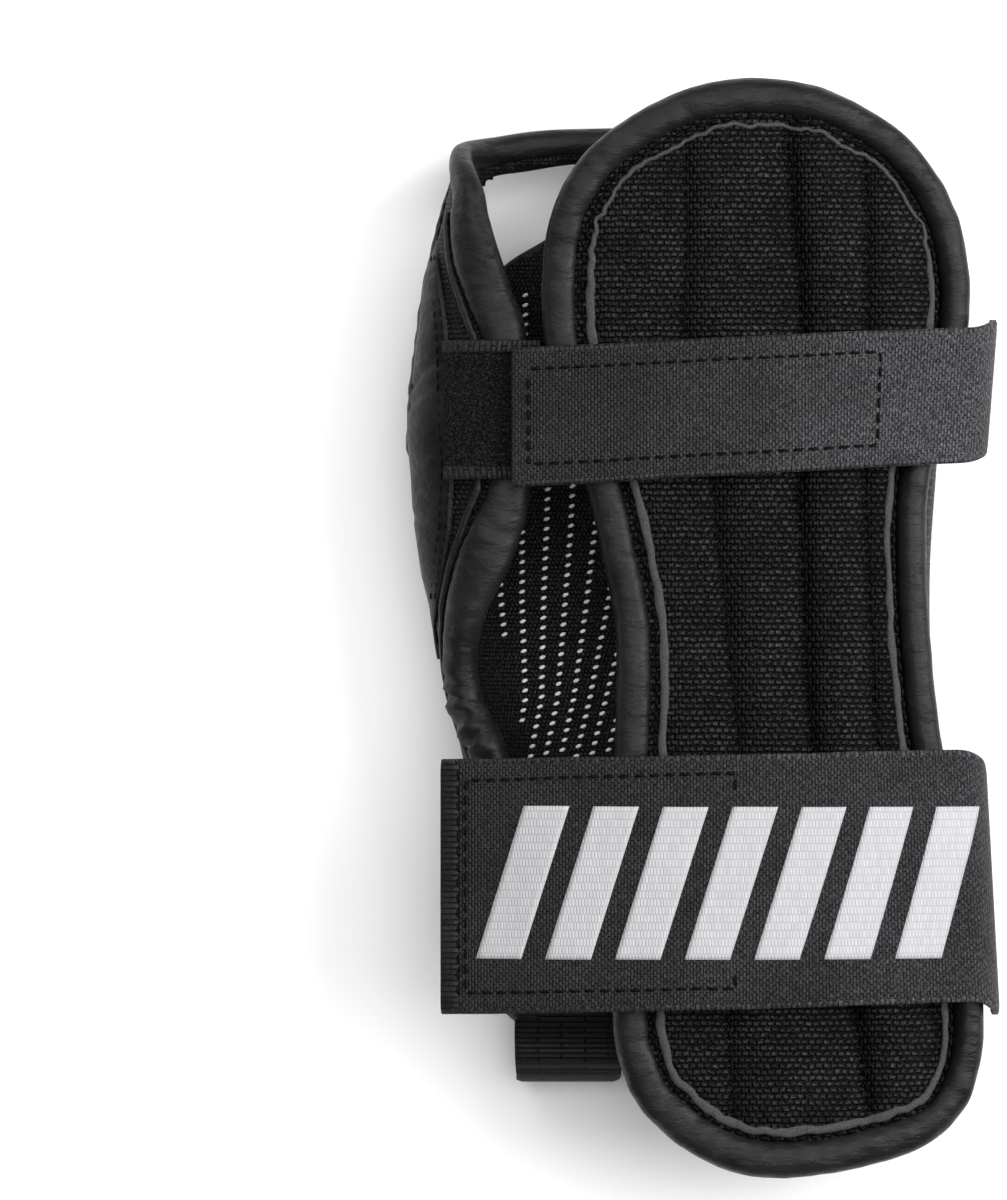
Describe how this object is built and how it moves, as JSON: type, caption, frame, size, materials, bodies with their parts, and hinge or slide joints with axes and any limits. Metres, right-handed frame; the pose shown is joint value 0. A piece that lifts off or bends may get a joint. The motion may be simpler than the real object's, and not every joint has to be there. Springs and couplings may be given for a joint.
{
  "type": "wrist guard",
  "caption": "Padded snowboard wrist guard for the right hand: palm shell with a thumb hole, a hinged splinted dorsal panel, two peel-back straps and an elastic pull loop.",
  "frame": {"origin": "middle of the guard's outline on the surface that its palm side lies on", "axes": "+X towards the little finger, +Y towards the fingertips, +Z out of the back of the hand"},
  "size_m": [0.1124, 0.2084, 0.0489],
  "materials": {
    "mesh_black": "basket-woven polyester mesh with light flecks",
    "lining_black": "smooth knitted lining with small pale rubber grip dots",
    "foam_black": "closed-cell foam padding, hidden",
    "splint_grey": "flexible nylon splint, hidden",
    "binding_grey": "soft matt synthetic suede tape, rolled and wrinkled",
    "piping_grey": "thin pale grey stitched welt",
    "webbing_grey": "fine-ribbed woven webbing",
    "pile_black": "brushed loop pile",
    "hook_black": "moulded hook tape",
    "elastic_grey": "ribbed woven elastic",
    "print_white": "flat screen-printed ink, slightly worn"
  },
  "bodies": {
    "shell": {"palm_shell": "mesh_black", "palm_lining": "lining_black", "palm_pad_foam": "foam_black", "palm_pad_cover": "mesh_black", "palm_stay_radial": "splint_grey", "palm_stay_middle": "splint_grey", "palm_stay_ulnar": "splint_grey", "palm_stay_pockets": "mesh_black", "thumb_hole_binding": "binding_grey", "shell_edge_binding": "binding_grey", "finger_hem_binding": "binding_grey", "forearm_hem_binding": "binding_grey", "hand_loop_patch": "pile_black", "wrist_loop_band": "pile_black", "ulnar_gusset": "mesh_black", "pull_loop_anchor_radial": "elastic_grey", "pull_loop_anchor_ulnar": "elastic_grey"},
    "dorsal_panel": {"dorsal_panel_lining": "lining_black", "dorsal_panel_foam": "foam_black", "dorsal_panel_cover": "mesh_black", "dorsal_stay_radial": "splint_grey", "dorsal_stay_ulnar": "splint_grey", "dorsal_panel_binding": "binding_grey", "dorsal_panel_piping": "piping_grey", "hand_strap_anchor": "webbing_grey", "wrist_strap_anchor": "webbing_grey"},
    "hand_strap": {"hand_strap_webbing": "webbing_grey", "hand_strap_hook": "hook_black"},
    "wrist_strap": {"wrist_strap_webbing": "webbing_grey", "wrist_strap_hook": "hook_black", "wrist_strap_print": "print_white"},
    "pull_loop": {"pull_loop_elastic": "elastic_grey"}
  },
  "joints": [
    {"name": "dorsal_panel_hinge", "type": "hinge", "parent": "shell", "child": "dorsal_panel", "pos_m": [0.0545, 0, 0.0292], "axis": [0, 1, 0], "range_deg": [0, 60]},
    {"name": "hand_strap_peel", "type": "hinge", "parent": "dorsal_panel", "child": "hand_strap", "pos_m": [0.045, 0.044, 0.0434], "axis": [0, 1, 0], "range_deg": [0, 130]},
    {"name": "wrist_strap_peel", "type": "hinge", "parent": "dorsal_panel", "child": "wrist_strap", "pos_m": [0.049, -0.047, 0.0422], "axis": [0, 1, 0], "range_deg": [0, 130]},
    {"name": "pull_loop_fold", "type": "hinge", "parent": "shell", "child": "pull_loop", "pos_m": [-0.005, -0.07985, 0], "axis": [-1, 0, 0], "range_deg": [0, 170]}
  ]
}
